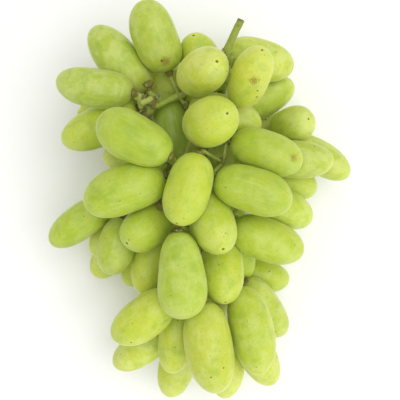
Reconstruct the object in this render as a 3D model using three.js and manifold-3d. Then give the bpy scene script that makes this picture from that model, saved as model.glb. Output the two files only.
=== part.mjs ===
// A bunch of long green table grapes lying on its side on a flat surface. Millimetres, +Z up.
// The cut end of the stalk points along +Y, the tail of the bunch along -Y. The origin is under
// the middle of the bunch, on the surface that it lies on.
//
// The bunch is one branching stalk and its separate berries. Each berry has a place chosen by
// hand. The berries then settle: pairs that press into each other move apart by a hair, the
// back row comes to rest on the surface, and each berry's own stem finds its way between its
// neighbours to the nearest branch.

import * as THREE from 'three';
import { mergeVertices } from 'three/addons/utils/BufferGeometryUtils.js';
import Module from 'manifold-3d';

const wasm = await Module();
wasm.setup();

// ---- driving dimensions, in millimetres and degrees ----

const GAP = 0.45;                 // clearance kept between neighbouring skins while settling
const PRESS = 0.35;               // how far a resting berry is flattened where it lies
const FULLNESS = 2.35;            // 2 is an ellipse, more is a fuller barrel
const BERRY_SIDES = 10;
const BERRY_BANDS = 8;
const CORE_BALLS = 7;             // balls strung along a berry's core, used to feel its neighbours

const PEDUNCLE_RADIUS = 1.35;     // the bare stalk that was cut
const RACHIS_RADIUS = 1.7;
const LATERAL_RADIUS = 1.25;
const LATERAL_TIP_RADIUS = 0.85;
const NODE_RADIUS = 2.3;          // the swelling where the bare stalk meets the rachis
const KNOT_RADIUS = 2;            // the knot at the end of the left shoulder's lateral
const PEDICEL_RADIUS = 0.65;      // the thin stem of one berry
const RECEPTACLE_RADIUS = 1.6;    // its flared end, against the berry
const RECEPTACLE_GAP = 0.35;      // clearance between a berry and its own stem
const FLARE_START = 0.8;          // share of a thin stem's length where its flare begins
const BRANCH_SIDES = 8;
const BRANCH_PIECES = 3;          // straight pieces between two points of a branch
const STEM_SIDES = 5;
const STEM_MESH_STEP = 4;         // length of one straight piece of a thin stem
const NECK = 1.8;                 // straight length of a berry's stem next to the berry
const STRAND_ROOM = 1.3;          // space that a thin stem keeps clear for itself
const STRAND_STEP = 3;            // spacing of the points that a thin stem is bent at
const STRAND_YIELD = 0.9;         // share of a clash that the thin stem gives way by, not the berry
const BRANCH_STEP = 3;            // spacing of the places on a branch where stems may start
const STEMS_PER_PLACE = 3;
const STRAIGHTENING = 0.35;       // how far a bent stem's point moves towards a straight line
const POINT_DAMPING = 0.5;        // keeps a stem's point from jumping between two berries
const NEAR_MARGIN = 2;

const BERRY_PASSES = 260;         // the berries find their places first
const STEM_PASSES = 220;          // then the thin stems find their way between them
const JOINT_PASSES = 60;          // and last both give way a little to each other
const HOME_PULL = 0.03;           // pull back to the berry's own place, fading as it settles
const HOME_FADE = 1.5;
const SIDEWAYS_EASE = 0.12;       // a berry slides sideways less readily than it lifts or sinks
const GROUND_EASE = 1.25;         // how readily a berry gives way: most at the bottom, and
const EASE_FALL = 60;             // less with every millimetre of height,
const LEAST_EASE = 0.25;          // down to this share at the top
const PROFILE_STEP = 0.02;
const GROUND_SIZE = 400;
const GROUND_DEPTH = 20;

const SKIN_LOOK = { color: 0xa9c64a, roughness: 0.42, metalness: 0 };
const STALK_LOOK = { color: 0x8a8f45, roughness: 0.75, metalness: 0 };

// Each berry: x, y, z of its middle, heading and rise of its tip, length, girth, and taper
// where the tip end is the fatter (+) or the slimmer (-) one.
const TIERS = {
  left_shoulder: [
    [-18, 65.5, 44, 111, 14, 30, 17.8],
    [-33, 57, 39, 131, 0, 34, 16.5],
    [-42, 45, 45, 172, 0, 31, 15.5],
    [-41, 30.5, 36, -156, -6, 34, 16],
    [-25, 23, 60, 151, 0, 31, 17.7, 0.06],
    [-16, 53, 26, 125, -20, 28, 14.5],
    [-11, 31, 32, 96, 20, 30, 16],
    [-39, 39, 22, -162, -10, 28, 14],
    [-27, 18, 24, 177, -10, 28, 14.5],
  ],
  crown: [
    [1, 56, 32, 98, 45, 30, 17],
    [1.2, 49.3, 57, 25, 69, 30, 17.6],
    [3.8, 27.4, 62, 32, 63, 29, 18.6],
    [10.5, 35.2, 42.5, -15, 8, 31, 17],
    [21.8, 56.5, 36, -7, -18, 29, 16.6],
    [19, 46.6, 60, 66, 50, 29, 15.2],
    [26, 42.5, 23, 27, 12, 30, 15],
  ],
  right_shoulder: [
    [38.3, 30.2, 31, 20, 66, 24, 15],
    [26, 18.4, 51.5, -19, 12, 29.5, 16.6],
    [39, 17, 39, -5, 8, 30, 15],
    [50.5, 18.2, 22, -30, 0, 30, 14],
    [35.5, 8, 26, -15, 0, 28, 15],
    [33.5, -3, 33, -22, -10, 28, 15.5],
    [25, 31, 16, 25, 0, 26, 14.5],
  ],
  middle: [
    [-3.2, 3.8, 60, -112, 14, 28.5, 17],
    [-29, 4, 56, -159, 0, 33, 18.6],
    [-50.3, -10.3, 30, -147, -12, 29, 14.6],
    [-36.5, -12.5, 25, -128, -10, 28, 14.5],
    [-22.5, -10, 47, -135, 14, 23.5, 16.8],
    [-32, -18.8, 38, -106, -12, 23.5, 14.6],
    [-36.5, -23, 13, -120, -8, 27, 14],
    [-28, -25, 8, -122, 0, 26, 14],
    [-21.5, -24.5, 37, -96, 4, 29, 15],
  ],
  heart: [
    [-7.2, -28.8, 59, -87, 0, 33.5, 17.6, 0.16],
    [6.6, -9.8, 52, -72, 45, 30, 18.2],
    [19.6, 3.2, 55.5, -14, 10, 31, 17.2],
    [27, -16, 42, -20, -10, 31, 17],
    [15, -20, 27, -73, -8, 30, 15],
    [9.8, -28.4, 43, -84, 13, 29, 16.8],
    [25, -32, 14, -14, 0, 28, 14],
    [14, 13, 24, -60, 0, 26, 14],
  ],
  tail: [
    [26.5, -46, 26, -56, -10, 31, 15],
    [19.8, -51.3, 44, -76, 5, 36, 17],
    [24, -63, 30, -66, -12, 31, 15],
    [3.8, -57.8, 52, -81, 0, 36, 18.6, -0.08],
    [11.5, -69.5, 21, -92, 0, 30, 14.5],
    [-22, -46.8, 45, -143, -12, 31, 16.6],
    [-23, -62, 26, -147, -10, 30, 15],
    [-10, -55, 36, -97, -10, 31, 15.5],
    [-10, -69.5, 22, -104, -10, 30, 15.4],
  ],
  back: [
    [-8, 45, 9, 110, 0, 29, 17],
    [-2, 22, 9, 75, 0, 29, 17],
    [-25, 20, 9, 160, 0, 29, 17],
    [25, 6, 9, -10, 0, 29, 17],
    [-9, -8, 9, -100, 0, 29, 17],
    [-30, 3, 10, -160, 0, 28, 16],
    [5, -39, 9, -80, 0, 29, 17],
    [-15, -46, 9, -110, 0, 29, 17],
    [13, -10, 9, -50, 0, 29, 17],
    [23, 52, 12, 60, 0, 28, 16],
  ],
};

// The stalk's branches: the bare one that was cut, the rachis, and the laterals off it. Each is
// a run of points and the radius at its two ends. Berries hang from all but the bare one.
const BRANCHES = [
  {
    points: [[16.4, 71.8, 46], [13.3, 65.5, 45], [11, 60, 43.5], [11.5, 57, 42]],
    radii: [PEDUNCLE_RADIUS, PEDUNCLE_RADIUS],
    bare: true,
  },
  {
    points: [
      [11.5, 57, 42], [9.5, 47, 33], [7, 39, 22], [3, 28, 20], [1, 14, 25],
      [0, 0, 33], [-1, -14, 36], [-3, -30, 35], [1, -42, 35], [4, -54, 32],
    ],
    radii: [RACHIS_RADIUS, LATERAL_TIP_RADIUS],
  },
  {
    points: [[9.5, 47, 33], [4, 45, 35], [-4, 44, 38], [-11, 41, 40], [-19, 39, 42]],
    radii: [LATERAL_RADIUS, LATERAL_RADIUS],
  },
  { points: [[4, 31, 20], [13, 27, 24], [22, 24, 30]], radii: [LATERAL_RADIUS, LATERAL_TIP_RADIUS] },
  { points: [[0.5, 7, 29], [-8, 6, 35], [-17, 2, 38]], radii: [LATERAL_RADIUS, LATERAL_TIP_RADIUS] },
  { points: [[0.5, 5, 30], [8, 3, 36], [16, -2, 38]], radii: [LATERAL_RADIUS, LATERAL_TIP_RADIUS] },
  { points: [[1, 14, 25], [-5, 14, 38], [-10, 12, 47]], radii: [LATERAL_RADIUS, LATERAL_TIP_RADIUS] },
  { points: [[1.5, 10, 27], [6, 13, 37], [9, 15, 46]], radii: [LATERAL_RADIUS, LATERAL_TIP_RADIUS] },
  { points: [[0, -8, 35], [-3, -10, 42], [-5, -11, 49]], radii: [LATERAL_RADIUS, LATERAL_TIP_RADIUS] },
  { points: [[-1, -11, 36], [1, -16, 27], [1, -20, 19]], radii: [LATERAL_RADIUS, LATERAL_TIP_RADIUS] },
  { points: [[-1, -12, 36], [-8, -12, 34], [-14, -13, 29]], radii: [LATERAL_RADIUS, LATERAL_TIP_RADIUS] },
  { points: [[-3, -30, 35], [6, -34, 30], [14, -37, 27]], radii: [LATERAL_RADIUS, LATERAL_TIP_RADIUS] },
];

// ---- berry shape ----

/** Distance from a berry's axis to its skin at u, from -1 at the stem end to 1 at the tip. */
function skinRadius(berry, u) {
  const roundness = Math.sqrt(Math.max(0, 1 - Math.abs(u) ** FULLNESS));
  return (berry.girth / 2) * roundness * (1 + berry.taper * u);
}

/** The largest ball centred at x along the axis that stays under the skin. */
function ballRadius(berry, x) {
  const halfLength = berry.length / 2;
  let nearest = Infinity;
  for (let u = -1; u <= 1; u += PROFILE_STEP) {
    nearest = Math.min(nearest, Math.hypot(u * halfLength - x, skinRadius(berry, u)));
  }
  return nearest;
}

/** A berry with its core rod, whose two ends are what the settling moves. */
function makeBerry(name, row) {
  const [x, y, z, heading, rise, length, girth, taper = 0] = row;
  const turn = THREE.MathUtils.degToRad(heading);
  const lift = THREE.MathUtils.degToRad(rise);
  const axis = new THREE.Vector3(
    Math.cos(lift) * Math.cos(turn),
    Math.cos(lift) * Math.sin(turn),
    Math.sin(lift),
  );
  const berry = { name, length, girth, taper, resting: name.startsWith('back') };
  const endRoundness = (girth * girth * FULLNESS) / (4 * length);
  berry.core = length / 2 - endRoundness;
  berry.balls = [];
  for (let i = 0; i < CORE_BALLS; i += 1) {
    const along = berry.core * ((2 * i) / (CORE_BALLS - 1) - 1);
    berry.balls.push({ along, radius: ballRadius(berry, along) });
  }
  const middle = new THREE.Vector3(x, y, z);
  berry.stemEnd = middle.clone().addScaledVector(axis, -berry.core);
  berry.tipEnd = middle.clone().addScaledVector(axis, berry.core);
  berry.homeStemEnd = berry.stemEnd.clone();
  berry.homeTipEnd = berry.tipEnd.clone();
  // The upper rows hold their places; the ones under them give way.
  berry.ease = THREE.MathUtils.clamp(GROUND_EASE - z / EASE_FALL, LEAST_EASE, 1);
  return berry;
}

function middleOf(berry) {
  return berry.stemEnd.clone().add(berry.tipEnd).multiplyScalar(0.5);
}

function axisOf(berry) {
  return berry.tipEnd.clone().sub(berry.stemEnd).normalize();
}

/** A point on the axis, x from the middle towards the tip. */
function pointOnAxis(berry, x) {
  const share = 0.5 + x / (2 * berry.core);
  return berry.stemEnd.clone().lerp(berry.tipEnd, share);
}

function stemPole(berry, outward) {
  return pointOnAxis(berry, -(berry.length / 2 + outward));
}

// ---- settling ----

/** Moves a berry by a push that acts on it at x along its axis. */
function pushBerry(berry, x, push) {
  const tipShare = 0.5 + x / (2 * berry.core);
  const stemShare = 1 - tipShare;
  const scale = 1 / (tipShare * tipShare + stemShare * stemShare);
  berry.tipEnd.addScaledVector(push, tipShare * scale);
  berry.stemEnd.addScaledVector(push, stemShare * scale);
}

function restoreCore(berry) {
  const middle = middleOf(berry);
  const axis = axisOf(berry);
  berry.tipEnd.copy(middle).addScaledVector(axis, berry.core);
  berry.stemEnd.copy(middle).addScaledVector(axis, -berry.core);
}

/** The move along a contact direction that opens it by depth and lifts more than it slides. */
function easedMove(direction, depth) {
  const move = new THREE.Vector3(
    direction.x * SIDEWAYS_EASE,
    direction.y * SIDEWAYS_EASE,
    direction.z,
  );
  return move.multiplyScalar(depth / move.dot(direction));
}

function deepestContact(a, b) {
  const ballsA = a.balls.map((ball) => ({ ...ball, at: pointOnAxis(a, ball.along) }));
  const ballsB = b.balls.map((ball) => ({ ...ball, at: pointOnAxis(b, ball.along) }));
  let contact = { depth: 0 };
  for (const ballA of ballsA) {
    for (const ballB of ballsB) {
      const apart = ballA.at.distanceTo(ballB.at);
      const depth = ballA.radius + ballB.radius + GAP - apart;
      if (depth > contact.depth) {
        const direction = ballB.at.clone().sub(ballA.at).divideScalar(apart);
        contact = { depth, direction, alongA: ballA.along, alongB: ballB.along };
      }
    }
  }
  return contact;
}

function separate(a, b) {
  const reach = (a.length + b.length) / 2 + GAP;
  if (middleOf(a).distanceTo(middleOf(b)) > reach) {
    return;
  }
  const contact = deepestContact(a, b);
  if (contact.depth === 0) {
    return;
  }
  const move = easedMove(contact.direction, contact.depth);
  const shareA = a.ease / (a.ease + b.ease);
  pushBerry(a, contact.alongA, move.clone().multiplyScalar(-shareA));
  pushBerry(b, contact.alongB, move.multiplyScalar(1 - shareA));
}

/** Keeps a berry on or above the surface; a resting one is pressed on it by a hair. */
function rest(berry) {
  const lowest = berry.resting ? -PRESS : 0;
  let bottom = Infinity;
  let lowestBall = berry.balls[0];
  for (const ball of berry.balls) {
    const height = pointOnAxis(berry, ball.along).z - ball.radius;
    if (height < bottom) {
      bottom = height;
      lowestBall = ball;
    }
  }
  if (bottom < lowest || berry.resting) {
    pushBerry(berry, lowestBall.along, new THREE.Vector3(0, 0, lowest - bottom));
  }
}

/** Pushes a berry off a point of the stalk and returns how the point gives way in turn. */
function clearPoint(berry, point, room, pointEase) {
  const give = new THREE.Vector3();
  for (const ball of berry.balls) {
    const at = pointOnAxis(berry, ball.along);
    const apart = at.distanceTo(point);
    const depth = ball.radius + room - apart;
    if (depth > 0) {
      const direction = point.clone().sub(at).divideScalar(apart);
      pushBerry(berry, ball.along, direction.clone().multiplyScalar(-depth * (1 - pointEase)));
      give.addScaledVector(direction, depth * pointEase * POINT_DAMPING);
    }
  }
  return give;
}

// ---- stalk ----

function branchCurve(branch) {
  return new THREE.CatmullRomCurve3(branch.points.map((point) => new THREE.Vector3(...point)));
}

function radiusAlong(branch, t) {
  return THREE.MathUtils.lerp(branch.radii[0], branch.radii[1], t);
}

/** Places along the branches, with the branch's radius there and whether it bears no stems. */
function branchPlaces() {
  const places = [];
  for (const branch of BRANCHES) {
    const curve = branchCurve(branch);
    const steps = Math.ceil(curve.getLength() / BRANCH_STEP);
    for (let i = 0; i <= steps; i += 1) {
      const t = i / steps;
      const place = { at: curve.getPointAt(t), radius: radiusAlong(branch, t), stems: 0 };
      places.push({ ...place, bare: branch.bare === true });
    }
  }
  return places;
}

/** Gives every berry a thin stem from the nearest free place on a branch. */
function routeStems(berries, places) {
  const openPlaces = places.filter((place) => !place.bare);
  const byDistance = [];
  for (const berry of berries) {
    const neck = stemPole(berry, NECK);
    for (const place of openPlaces) {
      byDistance.push({ berry, place, distance: neck.distanceTo(place.at) });
    }
    berry.stem = null;
  }
  byDistance.sort((p, q) => p.distance - q.distance);
  for (const { berry, place, distance } of byDistance) {
    if (!berry.stem && place.stems < STEMS_PER_PLACE) {
      place.stems += 1;
      const neck = stemPole(berry, NECK);
      const steps = Math.max(2, Math.round(distance / STRAND_STEP));
      berry.stem = [];
      for (let i = 0; i < steps; i += 1) {
        berry.stem.push(place.at.clone().lerp(neck, i / steps));
      }
    }
  }
}

function berriesNear(point, berries) {
  return berries.filter((berry) => point.distanceTo(middleOf(berry)) < berry.length / 2 + NEAR_MARGIN);
}

/** Lets the free points of a berry's stem straighten and slip between the berries. */
function relaxStem(berry, berries, yielding) {
  const points = [...berry.stem, stemPole(berry, NECK)];
  for (let i = 1; i < berry.stem.length; i += 1) {
    const between = points[i - 1].clone().add(points[i + 1]).multiplyScalar(0.5);
    points[i].lerp(between, STRAIGHTENING);
    for (const other of berriesNear(points[i], berries)) {
      points[i].add(clearPoint(other, points[i], STRAND_ROOM, yielding));
    }
  }
  for (const outward of [RECEPTACLE_GAP, NECK]) {
    const fixed = stemPole(berry, outward);
    for (const other of berriesNear(fixed, berries)) {
      if (other !== berry) {
        clearPoint(other, fixed, RECEPTACLE_RADIUS, yielding);
      }
    }
  }
}

function settleBerries(berries, stalkPoints, homePull) {
  for (const berry of berries) {
    berry.tipEnd.lerp(berry.homeTipEnd, homePull);
    berry.stemEnd.lerp(berry.homeStemEnd, homePull);
  }
  for (let i = 0; i < berries.length; i += 1) {
    for (let j = i + 1; j < berries.length; j += 1) {
      separate(berries[i], berries[j]);
    }
  }
  for (const berry of berries) {
    for (const place of stalkPoints) {
      clearPoint(berry, place.at, place.radius + GAP, 0);
    }
    rest(berry);
    restoreCore(berry);
  }
}

function settle(berries) {
  const places = branchPlaces();
  for (let pass = 0; pass < BERRY_PASSES; pass += 1) {
    const fade = Math.max(0, 1 - (HOME_FADE * pass) / BERRY_PASSES);
    settleBerries(berries, places, HOME_PULL * fade);
  }
  routeStems(berries, places);
  for (let pass = 0; pass < STEM_PASSES; pass += 1) {
    berries.forEach((berry) => relaxStem(berry, berries, 1));
  }
  for (let pass = 0; pass < JOINT_PASSES; pass += 1) {
    berries.forEach((berry) => relaxStem(berry, berries, STRAND_YIELD));
    settleBerries(berries, places, 0);
  }
}

// ---- solids ----

function toSolid(geometry) {
  const bare = geometry.index ? geometry.toNonIndexed() : geometry.clone();
  bare.deleteAttribute('normal');
  bare.deleteAttribute('uv');
  const merged = mergeVertices(bare, 1e-4);
  return new wasm.Manifold(new wasm.Mesh({
    numProp: 3,
    vertProperties: new Float32Array(merged.attributes.position.array),
    triVerts: new Uint32Array(merged.index.array),
  }));
}

function toGeometry(solid) {
  const mesh = solid.getMesh();
  const geometry = new THREE.BufferGeometry();
  geometry.setAttribute('position', new THREE.BufferAttribute(mesh.vertProperties, 3));
  geometry.setIndex(new THREE.BufferAttribute(mesh.triVerts, 1));
  geometry.computeVertexNormals();
  return geometry;
}

function berryGeometry(berry) {
  const profile = [];
  for (let i = 0; i <= BERRY_BANDS; i += 1) {
    const u = -Math.cos((Math.PI * i) / BERRY_BANDS);
    const atPole = i === 0 || i === BERRY_BANDS;
    profile.push(new THREE.Vector2(atPole ? 0 : skinRadius(berry, u), (u * berry.length) / 2));
  }
  const geometry = new THREE.LatheGeometry(profile, BERRY_SIDES);
  const latheAxis = new THREE.Vector3(0, 1, 0);
  const turn = new THREE.Quaternion().setFromUnitVectors(latheAxis, axisOf(berry));
  geometry.applyQuaternion(turn);
  geometry.translate(...middleOf(berry).toArray());
  return geometry;
}

/** A bent, tapering round branch: a cylinder laid along a curve. */
function branchGeometry(curve, radiusAt, sides, steps) {
  const geometry = new THREE.CylinderGeometry(1, 1, 1, sides, steps);
  const frames = curve.computeFrenetFrames(steps, false);
  const position = geometry.attributes.position;
  for (let i = 0; i < position.count; i += 1) {
    const station = Math.round((position.getY(i) + 0.5) * steps);
    const t = station / steps;
    const at = curve.getPointAt(t);
    at.addScaledVector(frames.normals[station], position.getZ(i) * radiusAt(t));
    at.addScaledVector(frames.binormals[station], position.getX(i) * radiusAt(t));
    position.setXYZ(i, at.x, at.y, at.z);
  }
  return geometry;
}

/** A thin stem's radius: slim all along, flaring in its last stretch into the receptacle. */
function stemRadius(t) {
  const flare = THREE.MathUtils.smoothstep(t, FLARE_START, 1);
  return THREE.MathUtils.lerp(PEDICEL_RADIUS, RECEPTACLE_RADIUS, flare);
}

function swelling(radius, place) {
  const ball = new THREE.SphereGeometry(radius, BRANCH_SIDES, BRANCH_SIDES - 2);
  ball.translate(...place);
  return toSolid(ball);
}

function stalkSolid(berries) {
  const pieces = BRANCHES.map((branch) => {
    const steps = BRANCH_PIECES * (branch.points.length - 1);
    const radiusAt = (t) => radiusAlong(branch, t);
    return toSolid(branchGeometry(branchCurve(branch), radiusAt, BRANCH_SIDES, steps));
  });
  const [, rachis, shoulderLateral] = BRANCHES;
  pieces.push(swelling(NODE_RADIUS, rachis.points[0]));
  pieces.push(swelling(KNOT_RADIUS, shoulderLateral.points.at(-1)));
  for (const berry of berries) {
    const points = [...berry.stem, stemPole(berry, NECK), stemPole(berry, RECEPTACLE_GAP)];
    const curve = new THREE.CatmullRomCurve3(points, false, 'centripetal');
    const steps = Math.ceil(curve.getLength() / STEM_MESH_STEP);
    pieces.push(toSolid(branchGeometry(curve, stemRadius, STEM_SIDES, steps)));
  }
  return pieces.reduce((joined, piece) => joined.add(piece));
}

// ---- assembly ----

function makeBerries() {
  const berries = [];
  for (const [tier, rows] of Object.entries(TIERS)) {
    rows.forEach((row, index) => {
      berries.push(makeBerry(`${tier}_berry_${index + 1}`, row));
    });
  }
  return berries;
}

function addMesh(group, name, geometry, look) {
  const mesh = new THREE.Mesh(geometry, new THREE.MeshStandardMaterial(look));
  mesh.name = name;
  group.add(mesh);
}

const berries = makeBerries();
settle(berries);

const ground = new THREE.BoxGeometry(GROUND_SIZE, GROUND_SIZE, GROUND_DEPTH);
ground.translate(0, 0, -GROUND_DEPTH / 2);
const groundSolid = toSolid(ground);

const bunch = new THREE.Group();
for (const berry of berries) {
  let geometry = berryGeometry(berry);
  if (berry.resting) {
    geometry = toGeometry(toSolid(geometry).subtract(groundSolid));
  }
  addMesh(bunch, berry.name, geometry, SKIN_LOOK);
}
addMesh(bunch, 'stalk', toGeometry(stalkSolid(berries)), STALK_LOOK);

const box = new THREE.Box3().setFromObject(bunch);
const centre = box.getCenter(new THREE.Vector3());
bunch.position.set(-centre.x, -centre.y, -box.min.z);

export default bunch;
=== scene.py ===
"""A bunch of long green table grapes lying on its side: the finished surfaces.

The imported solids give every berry's place, length and girth, and the stalk's course. Each berry
is grown over its solid as a smooth skin with a dimpled stem end, a scar at its tip and a flat
where it presses on a neighbour. The stalk is given bark, knots and a collar at every berry.
Lengths are metres in the scene, and millimetres in the sums below unless a name says otherwise.
"""

import math
import random

import bmesh
import bpy
import numpy as np
from bpy.props import FloatProperty, FloatVectorProperty, IntProperty, PointerProperty
from mathutils import Matrix, Vector, noise


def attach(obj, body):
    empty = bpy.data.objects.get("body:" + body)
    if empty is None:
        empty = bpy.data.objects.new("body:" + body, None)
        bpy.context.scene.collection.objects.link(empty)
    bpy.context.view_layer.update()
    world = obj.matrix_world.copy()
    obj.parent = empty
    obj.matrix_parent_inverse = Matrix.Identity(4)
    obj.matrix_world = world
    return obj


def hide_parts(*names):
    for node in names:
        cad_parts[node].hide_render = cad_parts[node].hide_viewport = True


bl_info = {
    "name": "Bunch of Grapes",
    "version": (1, 0, 0),
    "blender": (4, 5, 0),
    "location": "3D View > Sidebar > Grapes",
    "description": "Grows the skins, the stalk and the stage of a bunch of table grapes",
    "category": "Add Mesh",
}

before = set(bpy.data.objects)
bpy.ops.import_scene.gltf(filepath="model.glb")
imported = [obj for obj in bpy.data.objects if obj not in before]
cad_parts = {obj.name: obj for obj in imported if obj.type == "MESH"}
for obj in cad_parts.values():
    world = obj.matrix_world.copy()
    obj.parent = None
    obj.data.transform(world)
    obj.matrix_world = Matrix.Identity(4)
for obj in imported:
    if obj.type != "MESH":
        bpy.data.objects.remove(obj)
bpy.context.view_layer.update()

MM = 0.001
FULLNESS = 2.35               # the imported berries' profile: 2 is an ellipse, more is a barrel
BERRY_NODES = [name for name in sorted(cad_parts) if "_berry_" in name]
STALK_NODE = "stalk"

BERRY_FLOOR_GAP = 0.02        # least height of a skin above the surface
BARK_FLOOR_GAP = 0.05
PRESS_EXTRA = 0.03            # how far each of two pressed berries gives way beyond its half
NEAR_REACH = 1                # room added to the half lengths when looking for pressed berries
STATION = math.cos(3 * math.pi / 8)   # share of a berry's half length where its taper is measured
STATION_BAND = 0.05
STEM_DIMPLE_WIDTH = 1.9
TIP_DIMPLE_WIDTH = 0.7
BOW_CENTRE = 0.45             # keeps a bowed berry's ends and middle on both sides of its axis
PROFILE_STEPS = 160           # places along a berry's profile that a point is compared with
POLE_RINGS = (0.15, 0.35, 0.6)        # about the radii of the extra rings at a berry's two ends
SPOT_COUNT = 3                # marks that one berry can carry

# How ripe a berry looks, from 0, green, to 1, yellow; how much pale bloom it carries; and how
# much painted shade darkens it towards deep green, strongest on berries that lie in shadow.
TONES = {
    "left_shoulder_berry_1": (0.41, 0.45, 0.35),
    "left_shoulder_berry_2": (0.40, 0.75, 0.40),
    "left_shoulder_berry_3": (0.32, 0.70, 0.45),
    "left_shoulder_berry_4": (0.42, 0.30, 0.00),
    "left_shoulder_berry_5": (0.23, 0.10, 0.30),
    "left_shoulder_berry_6": (0.51, 0.85, 0.00),
    "left_shoulder_berry_7": (0.10, 0.00, 1.00),
    "left_shoulder_berry_8": (0.52, 0.15, 0.00),
    "left_shoulder_berry_9": (0.52, 0.85, 0.00),
    "crown_berry_1": (0.51, 0.10, 0.00),
    "crown_berry_2": (0.62, 0.65, 0.00),
    "crown_berry_3": (0.43, 0.15, 0.00),
    "crown_berry_4": (0.53, 0.70, 0.00),
    "crown_berry_5": (0.50, 0.85, 0.05),
    "crown_berry_6": (0.62, 0.40, 0.00),
    "crown_berry_7": (0.37, 0.70, 0.10),
    "right_shoulder_berry_1": (0.42, 0.85, 0.00),
    "right_shoulder_berry_2": (0.31, 0.25, 0.25),
    "right_shoulder_berry_3": (0.43, 0.80, 0.30),
    "right_shoulder_berry_4": (0.39, 0.85, 0.10),
    "right_shoulder_berry_5": (0.39, 0.45, 0.10),
    "right_shoulder_berry_6": (0.34, 0.75, 0.00),
    "right_shoulder_berry_7": (0.52, 0.65, 0.00),
    "middle_berry_1": (0.41, 0.15, 0.05),
    "middle_berry_2": (0.27, 0.15, 0.25),
    "middle_berry_3": (0.24, 0.25, 0.20),
    "middle_berry_4": (0.52, 0.85, 0.00),
    "middle_berry_5": (0.28, 0.10, 0.20),
    "middle_berry_6": (0.44, 0.50, 0.45),
    "middle_berry_7": (0.52, 0.85, 0.00),
    "middle_berry_8": (0.52, 0.40, 0.00),
    "middle_berry_9": (0.52, 0.25, 0.00),
    "heart_berry_1": (0.18, 0.45, 0.20),
    "heart_berry_2": (0.38, 0.45, 0.00),
    "heart_berry_3": (0.25, 0.20, 0.25),
    "heart_berry_4": (0.32, 0.35, 0.15),
    "heart_berry_5": (0.22, 0.00, 0.05),
    "heart_berry_6": (0.44, 0.30, 0.00),
    "heart_berry_7": (0.40, 0.40, 0.10),
    "heart_berry_8": (0.52, 0.85, 0.50),
    "tail_berry_1": (0.54, 0.65, 0.30),
    "tail_berry_2": (0.42, 0.50, 0.10),
    "tail_berry_3": (0.62, 0.85, 0.00),
    "tail_berry_4": (0.60, 0.50, 0.20),
    "tail_berry_5": (0.61, 0.85, 0.00),
    "tail_berry_6": (0.48, 0.35, 0.00),
    "tail_berry_7": (0.44, 0.85, 0.00),
    "tail_berry_8": (0.50, 0.40, 0.00),
    "tail_berry_9": (0.54, 0.85, 0.00),
    "back_berry_1": (0.52, 0.60, 0.00),
    "back_berry_2": (0.52, 0.85, 0.00),
    "back_berry_3": (0.24, 0.85, 0.60),
    "back_berry_5": (0.52, 0.55, 0.00),
    "back_berry_7": (0.52, 0.85, 0.00),
    "back_berry_9": (0.52, 0.85, 0.00),
}

# Berries whose form stands out: how much narrower the stem end is than the tip, and how blunt.
SHAPES = {
    "left_shoulder_berry_5": (0.10, 1.3),
    "crown_berry_6": (0.06, 0.3),
    "middle_berry_1": (0.06, 0.7),
    "middle_berry_2": (0.0, 1.1),
    "middle_berry_3": (-0.03, 0.9),
    "heart_berry_1": (0.14, 2.2),
    "heart_berry_3": (0.05, 0.9),
    "tail_berry_4": (0.08, 0.5),
}

# Marks on single berries: x and y from the berry's middle, as seen from above, and the radius.
SPOTS = {
    "left_shoulder_berry_1": [(2.5, -10.5, 0.6)],
    "left_shoulder_berry_4": [(-10.2, -7.0, 0.35)],
    "crown_berry_2": [(3.2, 2.1, 0.28), (5.1, -1.4, 0.28)],
    "crown_berry_3": [(6.7, 0.7, 0.26), (5.6, -1.9, 0.26)],
    "crown_berry_6": [(2.9, -5.8, 0.5), (2.4, -7.6, 0.6), (5.0, 6.6, 0.32)],
    "right_shoulder_berry_3": [(6.9, 4.6, 0.45)],
    "right_shoulder_berry_7": [(3.0, 3.4, 0.5)],
    "middle_berry_1": [(1.7, -0.6, 0.28), (-4.2, -12.7, 0.5)],
    "middle_berry_2": [(-4.3, 3.2, 0.3)],
    "middle_berry_5": [(-5.6, -4.4, 0.45)],
    "heart_berry_1": [(-0.7, 3.7, 0.3)],
    "heart_berry_6": [(-1.5, 2.9, 0.35)],
    "heart_berry_7": [(4.1, 1.6, 0.4)],
    "tail_berry_2": [(1.8, -13.4, 0.35)],
    "tail_berry_4": [(0.8, -10.1, 0.45), (5.6, -7.1, 0.45), (2.3, 0.1, 0.28)],
    "tail_berry_6": [(-4.5, -9.3, 0.5)],
    "tail_berry_9": [(3.4, -8.2, 0.35)],
}
NO_SPOT = -9.0                # a size below zero leaves no mark
RUSSETS = {
    "left_shoulder_berry_1": (4.6, -10.8, 2.8),
    "crown_berry_6": (0.7, -1.9, 2.2),
    "right_shoulder_berry_2": (9.5, -2.3, 1.6),
}


def linear(red, green, blue):
    """A screen colour, 0 to 255 in each part, as linear light."""
    parts = []
    for part in (red, green, blue):
        share = part / 255
        parts.append(share / 12.92 if share <= 0.04045 else ((share + 0.055) / 1.055) ** 2.4)
    return tuple(parts)


# ---- settings ----


def length_setting(name, description, millimetres):
    return FloatProperty(name=name, description=description, default=millimetres * MM, unit="LENGTH")


def share_setting(name, description, default):
    return FloatProperty(name=name, description=description, default=default, min=0.0, max=1.0)


def colour_setting(name, description, red, green, blue):
    return FloatVectorProperty(
        name=name,
        description=description,
        default=linear(red, green, blue),
        min=0.0,
        max=1.0,
        size=3,
        subtype="COLOR",
    )


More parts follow.
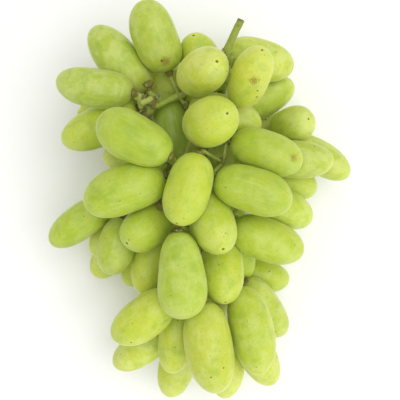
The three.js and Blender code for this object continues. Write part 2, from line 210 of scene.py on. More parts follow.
class BerrySettings(bpy.types.PropertyGroup):
    plumpness: length_setting("Plumpness", "How far a skin stands out from its solid", 0.12)
    bend: length_setting("Bend", "How far the middle of the most curved berry bows out", 1.0)
    lumps: length_setting("Lumps", "Height of the low waves in a skin", 0.17)
    ovality: share_setting("Ovality", "How much wider than deep the least round berry is", 0.03)
    stem_dimple: length_setting("Stem dimple", "Depth of the hollow round a berry's stem", 0.6)
    tip_dimple: length_setting("Tip dimple", "Depth of the pit at a berry's tip", 0.22)
    scar: length_setting("Tip scar", "Radius of the dark scar at a berry's tip", 0.7)
    sides: IntProperty(name="Sides", description="Faces round a berry", default=48, min=12)
    rings: IntProperty(name="Rings", description="Faces along a berry", default=38, min=12)
    green: colour_setting("Green", "Skin of the least ripe berry", 170, 198, 50)
    yellow: colour_setting("Yellow", "Skin of the ripest berry", 214, 216, 66)
    # Deep green also paints the shade on berries that lie in shadow.
    deep: colour_setting("Deep green", "Flecks and shaded patches", 144, 168, 48)
    pale: colour_setting("Pale", "Veins that show through the skin", 214, 226, 118)
    bloom: colour_setting("Bloom", "The waxy bloom on the skin", 228, 232, 166)
    # A painted glow: the colour that the skin's edges are paled towards as the camera sees them.
    painted_rim_glow: colour_setting("Rim", "The glow of light through a berry's edge", 234, 240, 164)
    mark: colour_setting("Mark", "Scars and specks", 62, 50, 22)
    russet: colour_setting("Russet", "Rough ochre patches", 150, 122, 46)


class StalkSettings(bpy.types.PropertyGroup):
    grain: length_setting("Grain", "Size of the faces that the bark is made of", 0.3)
    relief: length_setting("Relief", "Height of the bark's ridges", 0.16)
    thickness: length_setting("Thickness", "How far the bark stands out from the wood", 0.18)
    collar: length_setting("Collar", "Radius of the swollen end that holds a berry", 1.75)
    green: colour_setting("Green", "Young wood", 150, 166, 58)
    pale: colour_setting("Pale green", "Thin stems and torn stubs", 186, 196, 104)
    # Brown also paints the shade on the thick stub below the knot.
    brown: colour_setting("Brown", "Cork on knots and collars", 106, 92, 40)
    cut: colour_setting("Cut", "The dried cut face", 122, 104, 74)


class StageSettings(bpy.types.PropertyGroup):
    camera_side: length_setting("Camera side", "Camera's place across the bunch", -0.45)
    camera_along: length_setting("Camera along", "Camera's place along the bunch", 2.46)
    camera_height: length_setting("Camera height", "Camera's height above the surface", 400)
    lens: FloatProperty(name="Lens", description="Focal length in millimetres", default=80)
    floor_size: length_setting("Floor size", "Length of the floor's side", 40000)
    floor: colour_setting("Floor", "The pale floor", 252, 252, 251)
    sky: FloatProperty(name="Sky", description="Strength of the light from all round", default=0.64)
    key: FloatProperty(name="Key", description="Strength of the broad light", default=1.42)
    key_spread: FloatProperty(
        name="Key spread",
        description="How wide the broad light looks, and so how soft its shadows are",
        default=math.radians(55),
        subtype="ANGLE",
    )
    fill: FloatProperty(name="Fill", description="Power of the low lamp, in watts", default=1.5)


# ---- shader nodes ----


class Link:
    """A node's output that takes part in sums. A sum of values adds a Math node, and a sum
    with a vector or colour in it adds a Vector Math node."""

    def __init__(self, tree, socket):
        self.tree = tree
        self.socket = socket
        self.is_vector = socket.type in {"VECTOR", "RGBA"}

    def sum(self, operation, first, second):
        parts = (first, second)
        if not any(isinstance(part, Link) and part.is_vector for part in parts):
            return self.tree.add("ShaderNodeMath", {"operation": operation}, {0: first, 1: second})
        if operation == "MULTIPLY" and not is_vector(second):
            return self.tree.add("ShaderNodeVectorMath", {"operation": "SCALE"}, {0: first, 3: second})
        return self.tree.add("ShaderNodeVectorMath", {"operation": operation}, {0: first, 1: second})

    def __add__(self, other):
        return self.sum("ADD", self, other)

    def __radd__(self, other):
        return self.sum("ADD", other, self)

    def __sub__(self, other):
        return self.sum("SUBTRACT", self, other)

    def __rsub__(self, other):
        return self.sum("SUBTRACT", other, self)

    def __mul__(self, other):
        return self.sum("MULTIPLY", self, other)

    def __rmul__(self, other):
        return self.sum("MULTIPLY", self, other)

    def __truediv__(self, other):
        return self.sum("DIVIDE", self, other)

    def greater(self, other):
        return self.sum("MAXIMUM", self, other)

    def beside(self, output):
        """Another output of the same node."""
        return Link(self.tree, self.socket.node.outputs[output])


def is_vector(value):
    return isinstance(value, tuple) or (isinstance(value, Link) and value.is_vector)


class Finish:
    """A material and the nodes that make it."""

    def __init__(self, name):
        self.material = bpy.data.materials.new(name)
        self.material.use_nodes = True
        self.nodes = self.material.node_tree.nodes
        self.links = self.material.node_tree.links
        self.nodes.clear()

    def add(self, kind, settings=None, sockets=None, output=0):
        """Adds a node. Its settings are set first, then its sockets get their values or links."""
        node = self.nodes.new(kind)
        for name, value in (settings or {}).items():
            setattr(node, name, value)
        for key, value in (sockets or {}).items():
            self.feed(node.inputs[key], value)
        return Link(self, node.outputs[output])

    def feed(self, socket, value):
        if isinstance(value, Link):
            self.links.new(value.socket, socket)
        elif socket.type == "RGBA" and len(value) == 3:
            socket.default_value = (*value, 1.0)
        else:
            socket.default_value = value

    def attribute(self, name, output="Vector"):
        return self.add("ShaderNodeAttribute", {"attribute_name": name}, output=output)

    def noise(self, where, scale, detail=2.0, roughness=0.5, distortion=0.0):
        sockets = {
            "Vector": where,
            "Scale": scale,
            "Detail": detail,
            "Roughness": roughness,
            "Distortion": distortion,
        }
        return self.add("ShaderNodeTexNoise", None, sockets)

    def rise(self, value, low, high):
        """0 below low, 1 above high and a smooth step between; low may be the greater."""
        settings = {"interpolation_type": "SMOOTHSTEP"}
        sockets = {"Value": value, "From Min": low, "From Max": high}
        return self.add("ShaderNodeMapRange", settings, sockets)

    def clamp(self, value):
        return self.add("ShaderNodeClamp", None, {"Value": value})

    def mix(self, share, first, second):
        settings = {"data_type": "RGBA", "clamp_factor": True}
        return self.add("ShaderNodeMix", settings, {0: share, 6: first, 7: second}, output=2)

    def distance(self, first, second):
        sockets = {0: first, 1: second}
        return self.add("ShaderNodeVectorMath", {"operation": "DISTANCE"}, sockets, "Value")

    def parts(self, vector):
        """A vector's three parts."""
        split = self.add("ShaderNodeSeparateXYZ", None, {0: vector})
        return split, split.beside("Y"), split.beside("Z")

    def cells(self, where, scale):
        """A scatter of points: the gap to the nearest one, and a number of its own from 0 to 1."""
        scatter = self.add("ShaderNodeTexVoronoi", None, {"Vector": where, "Scale": scale})
        return {"gap": scatter, "pick": self.parts(scatter.beside("Color"))[0]}

    def bump(self, height, depth_mm):
        return self.add("ShaderNodeBump", None, {"Height": height, "Distance": depth_mm * MM})

    def close(self, sockets):
        """The surface itself, from its sockets, and the end of the tree."""
        shader = self.add("ShaderNodeBsdfPrincipled", None, sockets)
        self.add_output(shader)
        return self.material

    def add_output(self, shader):
        output = self.nodes.new("ShaderNodeOutputMaterial")
        self.links.new(shader.socket, output.inputs["Surface"])


def skin_finish(settings):
    """Satin grape skin: mottled, faintly veined and translucent, with bloom, specks, a scar and a
    painted pale glow along its edges.
    """
    skin = Finish("grape_skin")
    place = skin.attribute("skin_place")
    ripeness, bloom, scar = skin.parts(skin.attribute("skin_tone"))
    grain = place + skin.attribute("skin_seed")

    patches = skin.noise(grain, 0.16, 2.0)
    flecks = skin.noise(grain, 1.3, 3.0, 0.6)
    veins = skin.noise(grain * (0.9, 0.9, 0.12), 1.0, 2.0, 0.5, 0.6)
    to_tip = skin.distance(place, skin.attribute("tip_point"))
    to_stem = skin.distance(place, skin.attribute("stem_point"))
    frost = skin.rise(to_tip, 12.0, 3.0) * 0.45 + skin.rise(to_stem, 7.0, 2.0) * 0.25
    waxy = skin.rise(skin.noise(grain, 0.2, 3.0, 0.6) + frost * 0.2, 0.38, 0.66)
    haze = (waxy * 0.7 + 0.22) * (bloom * 0.8 + 0.2)

    ripe = skin.clamp(ripeness + (patches - 0.5) * 0.8)
    colour = skin.mix(ripe, tuple(settings.green), tuple(settings.yellow))
    # Painted shade: each berry's own darkening towards deep green, so berries lying in shadow come out
    # darker.
    colour = skin.mix(skin.attribute("skin_depth", "Fac"), colour, tuple(settings.deep))
    colour = skin.mix(skin.rise(flecks, 0.5, 0.72) * 0.34, colour, tuple(settings.deep))
    colour = skin.mix(skin.rise(patches, 0.48, 0.28) * 0.3, colour, tuple(settings.deep))
    colour = skin.mix(skin.rise(veins, 0.5, 0.7) * 0.16, colour, tuple(settings.pale))
    colour = skin.mix(haze * 0.5, colour, tuple(settings.bloom))
    colour = skin.mix(skin.rise(to_stem, 4.0, 1.2) * 0.35, colour, tuple(settings.pale))

    pores = skin.cells(grain, 0.8)
    pore = skin.rise(pores["gap"], 0.22, 0.1) * skin.rise(pores["pick"] + frost * 0.6, 0.56, 0.62)
    colour = skin.mix(pore * 0.6, colour, tuple(settings.deep))
    specks = skin.cells(grain + (40.0, 40.0, 40.0), 0.3)
    speck = skin.rise(specks["gap"], 0.1, 0.05) * skin.rise(specks["pick"], 0.6, 0.64)
    colour = skin.mix(speck * 0.7, colour, tuple(settings.mark))

    ragged = (flecks - 0.5) * 0.5
    russet_size = skin.attribute("russet_size", "Fac")
    russet_gap = skin.distance(place, skin.attribute("russet_point"))
    flaky = skin.noise(grain, 1.9, 4.0, 0.7)
    russet = skin.rise(russet_gap + (flaky - 0.5) * 9.0, russet_size, russet_size * 0.3)
    russet = russet * skin.rise(russet_size, 0.1, 0.2)
    colour = skin.mix(russet * 0.7, colour, tuple(settings.russet))

    colour = skin.mix(skin.rise(to_tip - scar, 1.6, 0.3) * 0.3, colour, tuple(settings.pale))
    marks = (scar - to_tip + ragged) * 3.0
    for index, size in enumerate(skin.parts(skin.attribute("spot_sizes"))):
        gap = skin.distance(place, skin.attribute(f"spot_{index + 1}"))
        marks = marks.greater((size - gap + ragged) * 3.0)
    marks = skin.clamp(marks)
    colour = skin.mix(marks * 0.85, colour, tuple(settings.mark))

    # Painted rim light: the skin is paled towards the rim colour where it turns away from the camera.
    edge = skin.add("ShaderNodeLayerWeight", None, {"Blend": 0.3}, "Facing")
    colour = skin.mix(skin.rise(edge, 0.4, 0.9) * 0.5, colour, tuple(settings.painted_rim_glow))

    roughness = haze * 0.16 + flecks * 0.14 + marks * 0.25 + 0.27
    relief = veins * 0.5 + flecks * 0.35 + russet * 0.5 - marks * 0.8
    return skin.close({
        "Base Color": colour,
        "Roughness": roughness,
        "IOR": 1.42,
        "Specular IOR Level": 0.42,
        "Subsurface Weight": 0.5,
        "Subsurface Radius": (0.9, 1.0, 0.28),
        "Subsurface Scale": 3.2 * MM,
        "Normal": skin.bump(relief, 0.09),
    })


def stalk_finish(settings):
    """Green wood with lengthwise ridges, corky brown on knots and collars, a dark brown stub painted
    as shade below the knot, and a dried cut.
    """
    wood = Finish("stalk_wood")
    place = wood.attribute("bark_place")
    cork_and_shade, cut, thin = wood.parts(wood.attribute("bark_kind"))
    blotches = wood.noise(place, 0.45, 3.0, 0.6)
    fibres = wood.noise(place * (1.0, 0.35, 1.0), 2.6, 3.0, 0.65)
    colour = wood.mix(wood.clamp(thin + (blotches - 0.5)), tuple(settings.green), tuple(settings.pale))
    # Brown cork on knots, collars and stubs; on the thick stub below the knot the same brown is
    # painted shade.
    corky = wood.rise(cork_and_shade + (blotches - 0.5) * 1.3 + (fibres - 0.5) * 0.5, 0.35, 0.75)
    colour = wood.mix(corky * 0.85, colour, tuple(settings.brown))
    colour = wood.mix(wood.rise(fibres, 0.55, 0.75) * 0.35, colour, tuple(settings.brown))
    colour = wood.mix(cut, colour, tuple(settings.cut))
    return wood.close({
        "Base Color": colour,
        "Roughness": corky * 0.2 + 0.55,
        "Subsurface Weight": 0.15,
        "Subsurface Radius": (0.8, 1.0, 0.3),
        "Subsurface Scale": 1.0 * MM,
        "Normal": wood.bump(fibres + blotches * 0.6, 0.2),
    })


def floor_finish(settings):
    """Pale matt board with the faintest grain."""
    board = Finish("pale_floor")
    where = board.add("ShaderNodeTexCoord", output="Object")
    grain = board.noise(where, 240.0, 3.0)
    colour = tuple(settings.floor)
    darker = tuple(part * 0.985 for part in colour)
    return board.close({
        "Base Color": board.mix(grain, darker, colour),
        "Roughness": grain * 0.1 + 0.7,
        "Specular IOR Level": 0.2,
        "Normal": board.bump(grain, 0.02),
    })


# ---- meshes ----


def corners(mesh):
    flat = np.empty(3 * len(mesh.vertices), np.float32)
    mesh.vertices.foreach_get("co", flat)
    return flat.reshape(-1, 3).astype(float) / MM


def add_piece(name, points, faces, finish, replaced):
    """A smooth mesh, in millimetres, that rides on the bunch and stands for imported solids."""
    mesh = bpy.data.meshes.new(name)
    mesh.from_pydata([tuple(point * MM) for point in points], [], faces)
    return add_object(name, mesh, finish, replaced)


def add_object(name, mesh, finish, replaced):
    mesh.shade_smooth()
    mesh.materials.clear()
    mesh.materials.append(finish)
    piece = bpy.data.objects.new(name, mesh)
    bpy.context.scene.collection.objects.link(piece)
    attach(piece, "root")
    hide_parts(replaced)
    return piece


def write_vectors(mesh, name, rows):
    """Stores a vector for every point of a mesh; one row alone is given to all of them."""
    values = np.broadcast_to(np.asarray(rows, np.float32), (len(mesh.vertices), 3))
    attribute = mesh.attributes.new(name, "FLOAT_VECTOR", "POINT")
    attribute.data.foreach_set("vector", np.ascontiguousarray(values).ravel())


def write_value(mesh, name, value):
    attribute = mesh.attributes.new(name, "FLOAT", "POINT")
    attribute.data.foreach_set("value", np.full(len(mesh.vertices), value, np.float32))


def unit(vector):
    return vector / np.linalg.norm(vector)


# ---- berries ----


class Berry:
    """A berry's place and size, measured from its solid, and its own small irregularities."""

    def __init__(self, name, stalk_points, settings):
        self.name = name
        points = corners(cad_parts[name].data)
        gaps = np.linalg.norm(points[:, None] - points[None, :], axis=2)
        first, second = np.unravel_index(np.argmax(gaps), gaps.shape)
        ends = sorted(
            (points[first], points[second]),
            key=lambda end: np.linalg.norm(stalk_points - end, axis=1).min(),
        )
        self.stem, self.tip = ends
        self.middle = (self.stem + self.tip) / 2
        self.axis = unit(self.tip - self.stem)
        self.half = np.linalg.norm(self.tip - self.stem) / 2
        side = np.cross(self.axis, (0, 0, 1))
        self.side = unit(side if np.linalg.norm(side) > 0.2 else np.cross(self.axis, (0, 1, 0)))
        self.top = np.cross(self.side, self.axis)
        self.measure_girth(points)
        self.add_character(settings)

    def measure_girth(self, points):
        offset = points - self.middle
        along = offset @ self.axis
        out = np.linalg.norm(offset - along[:, None] * self.axis, axis=1)
        share = along / self.half
        self.radius = out[np.abs(share) < STATION_BAND].max()
        towards_tip = out[np.abs(share - STATION) < STATION_BAND].max()
        towards_stem = out[np.abs(share + STATION) < STATION_BAND].max()
        self.taper = (towards_tip - towards_stem) / (towards_tip + towards_stem) / STATION

    def add_character(self, settings):
        rng = random.Random(self.name)
        self.seed = [rng.uniform(0, 900) for _ in range(3)]
        self.plump = settings.plumpness / MM
        bend = settings.bend / MM * rng.uniform(0.25, 1.0)
        turn = rng.uniform(0, math.tau)
        self.bend = np.array([bend * math.cos(turn), bend * math.sin(turn)])
        self.oval = settings.ovality * rng.uniform(-1, 1)
        self.waves = [
            (count, settings.lumps / MM * rng.uniform(0.5, 1.0) / (1 + 0.5 * index), *phases)
            for index, (count, phases) in enumerate(
                (count, (rng.uniform(0, math.tau), rng.uniform(1, 3), rng.uniform(0, math.tau)))
                for count in (2, 3, 4, 5)
            )
        ]
        extra_taper, bluntness = SHAPES.get(self.name, (0.0, rng.uniform(0.1, 0.9)))
        self.taper += extra_taper
        self.stem_fullness = FULLNESS + bluntness
        self.tip_fullness = FULLNESS + rng.uniform(-0.15, 0.1)
        self.scar = settings.scar / MM * rng.uniform(0.7, 1.1)
        self.stem_dimple = settings.stem_dimple / MM * rng.uniform(0.7, 1.1)
        self.tip_dimple = settings.tip_dimple / MM * rng.uniform(0.5, 1.2)

    def profile(self, share):
        """Distance from the axis to the skin and place along the axis, at a share of the length
        from -1 at the stem to 1 at the tip."""
        power = np.where(share < 0, self.stem_fullness, self.tip_fullness)
        full = np.sqrt(np.clip(1 - np.abs(share) ** power, 0, 1))
        out = self.radius * full * (1 + self.taper * share) + self.plump * full ** 0.5
        along = share * (self.half + self.plump)
        dimple = self.stem_dimple * np.exp(-((out / STEM_DIMPLE_WIDTH) ** 2)) * (share < 0)
        pit = self.tip_dimple * np.exp(-((out / TIP_DIMPLE_WIDTH) ** 2)) * (share > 0)
        return out, along + dimple - pit

    def bow(self, along):
        """How far the bent middle line lies off the straight axis."""
        share = along / self.half
        return (BOW_CENTRE - share**2)[..., None] * self.bend

    def skin(self, share, turn):
        """Points of the skin in the berry's own axes: across, upwards and along."""
        out, along = self.profile(share)
        wave = sum(
            height * np.sin(count * turn + phase) * np.cos(speed * share + start)
            for count, height, phase, speed, start in self.waves
        )
        out = out + wave * np.clip(1 - share**2, 0, 1)
        bow = self.bow(along)
        across = out * np.cos(turn) * (1 + self.oval) + bow[..., 0]
        upward = out * np.sin(turn) * (1 - self.oval) + bow[..., 1]
        return np.stack(np.broadcast_arrays(across, upward, along), axis=-1)

    def to_world(self, local):
        return self.middle + local @ np.array([self.side, self.top, self.axis])

    def to_local(self, points):
        return (points - self.middle) @ np.array([self.side, self.top, self.axis]).T

    def press_depth(self, points):
        """For points in the scene: how deep they lie in this berry, and its outward direction."""
        local = self.to_local(points)
        bow = self.bow(local[:, 2])
        flat = local[:, :2] - bow
        out = np.linalg.norm(flat, axis=1)
        outward = flat / np.maximum(out, 1e-6)[:, None]
        share = np.cos(np.linspace(math.pi, 0, PROFILE_STEPS))
        profile_out, profile_along = self.profile(share)
        normal_out = np.gradient(profile_along)
        normal_along = -np.gradient(profile_out)
        size = np.hypot(normal_out, normal_along)
        normal_out, normal_along = normal_out / size, normal_along / size
        away_out = out[:, None] - profile_out
        away_along = local[:, 2, None] - profile_along
        nearest = np.argmin(away_out**2 + away_along**2, axis=1)
        rows = np.arange(len(points))
        gap = (
            away_out[rows, nearest] * normal_out[nearest]
            + away_along[rows, nearest] * normal_along[nearest]
        )
        direction = np.column_stack([outward * normal_out[nearest, None], normal_along[nearest]])
        return -gap, direction @ np.array([self.side, self.top, self.axis])


def berry_grid(berry, sides, rings):
    """Points and faces of a berry's skin, closer together at its two ends."""
    even = -np.cos(np.linspace(0, math.pi, rings + 1))[1:-1]
    fine = np.array(POLE_RINGS) / berry.radius
    near_pole = 1 - fine**2 / FULLNESS
    share = np.sort(np.concatenate([-near_pole, even, near_pole]))
    turn = np.linspace(0, math.tau, sides, endpoint=False)
    body = berry.skin(share[:, None], turn[None, :]).reshape(-1, 3)
    poles = berry.skin(np.array([-1.0, 1.0]), np.zeros(2))
    local = np.vstack([poles[:1], body, poles[1:]])
    faces = []
    count = len(share)
    last = len(local) - 1
    for side in range(sides):
        following = (side + 1) % sides
        faces.append((0, 1 + following, 1 + side))
        for ring in range(count - 1):
            start = 1 + ring * sides
            above = start + sides
            faces.append((start + side, start + following, above + following, above + side))
        top = 1 + (count - 1) * sides
        faces.append((top + side, top + following, last))
    return local, faces


def press_together(berries, skins):
    """Flattens the skins where two berries touch: each gives way by about half. It is one step,
    so a hair of overlap can be left where several berries press on one."""
    moves = [np.zeros_like(points) for points in skins]
    for i, berry in enumerate(berries):
        for j, other in enumerate(berries):
            reach = berry.half + other.half + NEAR_REACH
            if i == j or np.linalg.norm(berry.middle - other.middle) > reach:
                continue
            near = np.linalg.norm(skins[i] - other.middle, axis=1) < other.half + NEAR_REACH
            if not near.any():
                continue
            depth, outward = other.press_depth(skins[i][near])
            push = np.where(depth > 0, depth / 2 + PRESS_EXTRA, 0)
            moves[i][near] += outward * push[:, None]
    return [points + move for points, move in zip(skins, moves)]


def on_top(points, middle, across, along):
    """The highest point of a skin near a place seen from above."""
    gap = np.hypot(points[:, 0] - middle[0] - across, points[:, 1] - middle[1] - along)
    score = gap - 0.02 * points[:, 2]
    return int(np.argmin(np.where(points[:, 2] > middle[2], score, np.inf)))


def measure_berries(settings):
    stalk_points = corners(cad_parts[STALK_NODE].data)
    return [Berry(name, stalk_points, settings) for name in BERRY_NODES]


def write_skin_data(mesh, berry, local, points):
    """What the skin's material reads: place on the berry, tone, painted shade, scars and marks."""
    rng = random.Random(berry.name + "tone")
    usual = (rng.uniform(0.25, 0.6), rng.uniform(0.3, 0.7), rng.uniform(0.0, 0.2))
    ripeness, bloom, depth = TONES.get(berry.name, usual)
    write_vectors(mesh, "skin_place", local)
    write_vectors(mesh, "skin_seed", berry.seed)
    write_vectors(mesh, "skin_tone", (ripeness, bloom, berry.scar))
    write_vectors(mesh, "stem_point", local[0])
    write_vectors(mesh, "tip_point", local[-1])
    spots = []
    for across, along, size in SPOTS.get(berry.name, []):
        spots.append((local[on_top(points, berry.middle, across, along)], size))
    spots += [((0, 0, 0), NO_SPOT)] * (SPOT_COUNT - len(spots))
    for index, (place, _) in enumerate(spots):
        write_vectors(mesh, f"spot_{index + 1}", place)
    write_vectors(mesh, "spot_sizes", [size for _, size in spots])
    across, along, size = RUSSETS.get(berry.name, (0, 0, 0))
    write_vectors(mesh, "russet_point", local[on_top(points, berry.middle, across, along)])
    write_value(mesh, "russet_size", size)
    # Painted shade: how far the whole berry is darkened towards deep green.
    write_value(mesh, "skin_depth", depth)


class GRAPES_OT_berries(bpy.types.Operator):
    """Grow a skin over every packed berry"""

    bl_idname = "grapes.berries"
    bl_label = "Grow the Berries"

    def execute(self, context):
        settings = context.scene.grape_berries
        finish = skin_finish(settings)
        berries = measure_berries(settings)
        grids = [berry_grid(berry, settings.sides, settings.rings) for berry in berries]
        skins = [berry.to_world(local) for berry, (local, _) in zip(berries, grids)]
        pressed = press_together(berries, skins)
        for berry, (local, faces), points in zip(berries, grids, pressed):
            points[:, 2] = np.maximum(points[:, 2], BERRY_FLOOR_GAP)
            name = berry.name.replace("berry", "grape")
            piece = add_piece(name, points, faces, finish, berry.name)
            write_skin_data(piece.data, berry, local, points)
        return {"FINISHED"}


# ---- stalk ----

# Places on the stalk, in the bunch's own millimetres: swollen nodes with their radius, and torn
# stubs with their start, end, radius, the radius of the cap at the end, and how corky the cap is.
KNOT = (-19.5, 41.5, 42.0)
STALK_NODES = [(11.0, 59.5, 42.0, 2.8), (*KNOT, 3.2), (7.9, 17.9, 46.0, 1.0)]
TORN_STUBS = [
    (KNOT, (-20.9, 48.3, 46.7), 0.9, 1.8, 1.1),
    ((-19.4, 42.8, 46.4), (-23.4, 40.9, 47.2), 1.15, 1.15, 0.0),
    ((-24.6, 42.2, 45.4), (-23.7, 38.2, 45.2), 0.8, 0.85, 0.9),
    ((-26.6, 43.6, 45.0), (-22.4, 43.2, 46.4), 1.0, 1.0, 1.0),
    (KNOT, (-18.6, 40.5, 46.2), 1.4, 1.5, 0.9),
    # Painted shade: this thick stub from the knot, with a dark corky cap, is a dark mass set where
    # there is only shade between the berries.
    (KNOT, (-22.6, 36.2, 40.5), 2.2, 2.5, 0.8),
    ((-9.5, 44.2, 44.4), (-17.2, 40.0, 45.4), 1.0, 1.0, 0.3),
    ((-17.4, 4.5, 38.0), (-15.9, 0.0, 52.6), 0.8, 1.35, 1.1),
]

COLLAR_SETBACK = 0.25         # from a berry's stem end back to the middle of its collar
COLLAR_SQUASH = 0.42          # a collar's thickness as a share of its width
COLLAR_BUMPS = 5              # small swellings round a collar,
COLLAR_BUMP_RING = 0.78       # at this share of its radius,
COLLAR_BUMP_SETBACK = 0.15    # and set back from its middle by this much
NODE_LUMPS = 26               # lumps heaped on one swollen node
STUB_SIDES = 10
STUB_FLARE = 1.1              # how much thicker a stub is at its root
STUB_CAP_SQUASH = 0.5
WARTS = 6                     # warts round a torn end,
WART_RING = 0.72              # at this share of its cap's radius
SMOOTHING = 0.5
SMOOTHING_PASSES = 2
CUT_DEPTH = 0.8               # about how far down the stalk its dried cut end reaches
BARK_SEED = 5


def add_ball(shape, centre, radius, squash=1.0, axis=(0, 0, 1)):
    """Adds a ball, flattened along an axis, to a shape under construction. Millimetres."""
    turn = Vector((0, 0, 1)).rotation_difference(Vector(axis)).to_matrix().to_4x4()
    place = Matrix.Translation(Vector(centre) * MM) @ turn @ Matrix.Diagonal((1, 1, squash, 1))
    bmesh.ops.create_icosphere(shape, subdivisions=2, radius=radius * MM, matrix=place)


def add_stub(shape, start, end, radius, cap):
    """Adds a short tapering stem with a torn, flared end."""
    start, end = Vector(start), Vector(end)
    axis = end - start
    turn = Vector((0, 0, 1)).rotation_difference(axis).to_matrix().to_4x4()
    place = Matrix.Translation((start + end) / 2 * MM) @ turn
    bmesh.ops.create_cone(
        shape,
        cap_ends=True,
        segments=STUB_SIDES,
        radius1=radius * STUB_FLARE * MM,
        radius2=radius * MM,
        depth=axis.length * MM,
        matrix=place,
    )
    add_ball(shape, end, cap, STUB_CAP_SQUASH, axis)
    add_warts(shape, end, axis.normalized(), cap)


def add_warts(shape, centre, axis, radius):
    """A ring of small warts round a flared end."""
    across = axis.orthogonal()
    for step in range(WARTS):
        out = Matrix.Rotation(step * math.tau / WARTS, 3, axis) @ across * radius * WART_RING
        add_ball(shape, centre + out + axis * 0.3 * radius, radius * (0.28 + 0.08 * (step % 3)))


def stalk_blank(settings, berries, rng):
    """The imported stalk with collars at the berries, warty knots and torn stubs added."""
    shape = bmesh.new()
    shape.from_mesh(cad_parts[STALK_NODE].data)
    collar = settings.collar / MM
    for berry in berries:
        centre = berry.stem - berry.axis * COLLAR_SETBACK
        add_ball(shape, centre, collar * rng.uniform(0.9, 1.05), COLLAR_SQUASH, berry.axis)
        spread = rng.uniform(0, math.tau)
        for step in range(COLLAR_BUMPS):
            turn = spread + step * math.tau / COLLAR_BUMPS
            away = berry.side * math.cos(turn) + berry.top * math.sin(turn)
            bump = centre + away * collar * COLLAR_BUMP_RING - berry.axis * COLLAR_BUMP_SETBACK
            add_ball(shape, bump, rng.uniform(0.35, 0.6))
    for x, y, z, radius in STALK_NODES:
        for _ in range(NODE_LUMPS):
            away = Vector((rng.gauss(0, 1), rng.gauss(0, 1), rng.gauss(0, 1))).normalized()
            place = Vector((x, y, z)) + away * radius * rng.uniform(0.35, 0.8)
            add_ball(shape, place, rng.uniform(0.5, 1.1))
    for stub in TORN_STUBS:
        add_stub(shape, *stub[:4])
    mesh = bpy.data.meshes.new("stalk_blank")
    shape.to_mesh(mesh)
    shape.free()
    return mesh


def remeshed(mesh, grain):
    """One even skin over all the joined parts of a shape, smoothed."""
    blank = bpy.data.objects.new("blank", mesh)
    bpy.context.scene.collection.objects.link(blank)
    remesh = blank.modifiers.new("skin", "REMESH")
    remesh.mode = "VOXEL"
    remesh.voxel_size = grain
    smooth = blank.modifiers.new("smooth", "SMOOTH")
    smooth.factor = SMOOTHING
    smooth.iterations = SMOOTHING_PASSES
    graph = bpy.context.evaluated_depsgraph_get()
    made = bpy.data.meshes.new_from_object(blank.evaluated_get(graph))
    bpy.data.objects.remove(blank)
    return made


def nearest_gap(points, places):
    return np.min([np.linalg.norm(points - place, axis=1) for place in places], axis=0)


class GRAPES_OT_stalk(bpy.types.Operator):
    """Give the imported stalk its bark, knots, collars and cut end"""

    bl_idname = "grapes.stalk"
    bl_label = "Grow the Stalk"

    def execute(self, context):
        settings = context.scene.grape_stalk
        berries = measure_berries(context.scene.grape_berries)
        rng = random.Random(BARK_SEED)
        mesh = remeshed(stalk_blank(settings, berries, rng), settings.grain)
        points = corners(mesh)
        normals = np.empty(3 * len(points), np.float32)
        mesh.vertices.foreach_get("normal", normals)
        normals = normals.reshape(-1, 3)
        relief = np.array([
            noise.noise(Vector(point * 0.9)) * 0.6 + noise.noise(Vector(point * 2.3)) * 0.4
            for point in points
        ])
        collars = nearest_gap(points, [berry.stem for berry in berries])
        knots = nearest_gap(points, [np.array(place[:3]) for place in STALK_NODES])
        cut_end = points[points[:, 1] > points[:, 1].max() - CUT_DEPTH].mean(axis=0)
        cut = np.linalg.norm(points - cut_end, axis=1)
        cork_and_shade = np.maximum(np.clip(1.5 - collars / 2.2, 0, 0.8), np.clip(1.0 - knots / 5, 0, 0.6))
        # Each cap takes its stub's corkiness; for the thick stub below the knot this dark brown is
        # painted shade.
        for _, end, _, cap, corky in TORN_STUBS:
            gap = np.linalg.norm(points - np.array(end), axis=1)
            here = np.clip(2.0 - gap / cap, 0, 1)
            cork_and_shade = cork_and_shade * (1 - here) + corky * here
        cork_and_shade = np.maximum(cork_and_shade, np.clip(0.75 - cut / 8, 0, 1))
        swell = relief * settings.relief * (1 + cork_and_shade) + settings.thickness
        moved = points + normals * (swell / MM)[:, None]
        moved[:, 2] = np.maximum(moved[:, 2], BARK_FLOOR_GAP)
        mesh.vertices.foreach_set("co", (moved * MM).astype(np.float32).ravel())
        mesh.update()
        piece = add_object("grape_stalk", mesh, stalk_finish(settings), STALK_NODE)
        write_vectors(piece.data, "bark_place", points)
        thin = np.clip(1.2 - collars / 9, 0, 0.6)
        kinds = np.column_stack([cork_and_shade, np.clip(2.2 - cut / CUT_DEPTH, 0, 1), thin])
        write_vectors(piece.data, "bark_kind", kinds)
        return {"FINISHED"}


# ---- stage ----

# Where the lights stand and what they point at, in millimetres from the bunch's own origin.
KEY_FROM = (330, 60, 1250)
KEY_AIM = (0, 0, 0)
FILL_FROM = (500, -600, 420)
FILL_AIM = (0, 0, 30)
FILL_WIDTH = 600
SENSOR_WIDTH = 36


def add_light(name, kind, place_mm, aim_mm):
    light = bpy.data.lights.new(name, kind)
    holder = bpy.data.objects.new(name, light)
    holder.location = Vector(place_mm) * MM
    holder.rotation_euler = (Vector(aim_mm) - Vector(place_mm)).to_track_quat("-Z", "Y").to_euler()
    bpy.context.scene.collection.objects.link(holder)
    return light


def add_key(settings):
    """A broad, distant light that falls alike on the bunch and on all of the floor."""
    key = add_light("key_light", "SUN", KEY_FROM, KEY_AIM)
    key.energy = settings.key
    key.angle = settings.key_spread


def add_fill(settings):
    """A low, round lamp that softens the shadows between the berries."""
    fill = add_light("fill_lamp", "AREA", FILL_FROM, FILL_AIM)
    fill.shape = "DISK"
    fill.size = FILL_WIDTH * MM
    fill.energy = settings.fill


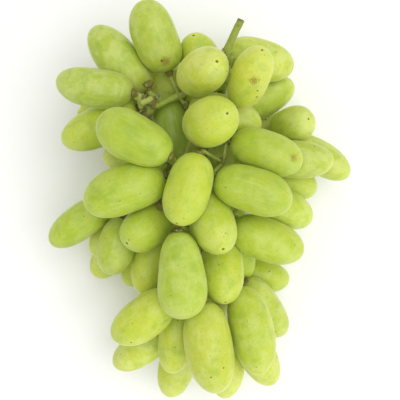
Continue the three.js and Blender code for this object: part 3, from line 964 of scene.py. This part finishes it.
class GRAPES_OT_stage(bpy.types.Operator):
    """Set the floor, the lamps and the camera that looks straight down"""

    bl_idname = "grapes.stage"
    bl_label = "Set the Stage"

    def execute(self, context):
        scene = context.scene
        settings = scene.grape_stage
        half = settings.floor_size / 2
        mesh = bpy.data.meshes.new("floor")
        around = [(-half, -half, 0), (half, -half, 0), (half, half, 0), (-half, half, 0)]
        mesh.from_pydata(around, [], [(0, 1, 2, 3)])
        mesh.materials.append(floor_finish(settings))
        floor = bpy.data.objects.new("floor", mesh)
        scene.collection.objects.link(floor)

        add_key(settings)
        add_fill(settings)

        world = bpy.data.worlds.new("soft_sky")
        world.use_nodes = True
        background = world.node_tree.nodes["Background"]
        background.inputs["Color"].default_value = (1.0, 1.0, 1.0, 1.0)
        background.inputs["Strength"].default_value = settings.sky
        scene.world = world
        scene.view_settings.view_transform = "Standard"

        lens = bpy.data.cameras.new("camera")
        lens.lens = settings.lens
        lens.sensor_width = SENSOR_WIDTH
        camera = bpy.data.objects.new("camera", lens)
        camera.location = (settings.camera_side, settings.camera_along, settings.camera_height)
        scene.collection.objects.link(camera)
        scene.camera = camera
        return {"FINISHED"}


# ---- add-on ----

OPERATORS = (GRAPES_OT_stage, GRAPES_OT_berries, GRAPES_OT_stalk)
SETTINGS = {
    "grape_berries": BerrySettings,
    "grape_stalk": StalkSettings,
    "grape_stage": StageSettings,
}


class GRAPES_PT_panel(bpy.types.Panel):
    bl_idname = "GRAPES_PT_panel"
    bl_label = "Bunch of Grapes"
    bl_space_type = "VIEW_3D"
    bl_region_type = "UI"
    bl_category = "Grapes"

    def draw(self, context):
        for operator in OPERATORS:
            self.layout.operator(operator.bl_idname)
        for name, group in SETTINGS.items():
            box = self.layout.box()
            for key in group.__annotations__:
                box.prop(getattr(context.scene, name), key)


def register():
    for cls in (*SETTINGS.values(), *OPERATORS, GRAPES_PT_panel):
        bpy.utils.register_class(cls)
    for name, group in SETTINGS.items():
        setattr(bpy.types.Scene, name, PointerProperty(type=group))


def unregister():
    for name in SETTINGS:
        delattr(bpy.types.Scene, name)
    for cls in (GRAPES_PT_panel, *reversed(OPERATORS), *reversed(SETTINGS.values())):
        bpy.utils.unregister_class(cls)


def main():
    register()
    bpy.ops.grapes.stage()
    bpy.ops.grapes.berries()
    bpy.ops.grapes.stalk()


if __name__ == "__main__":
    main()
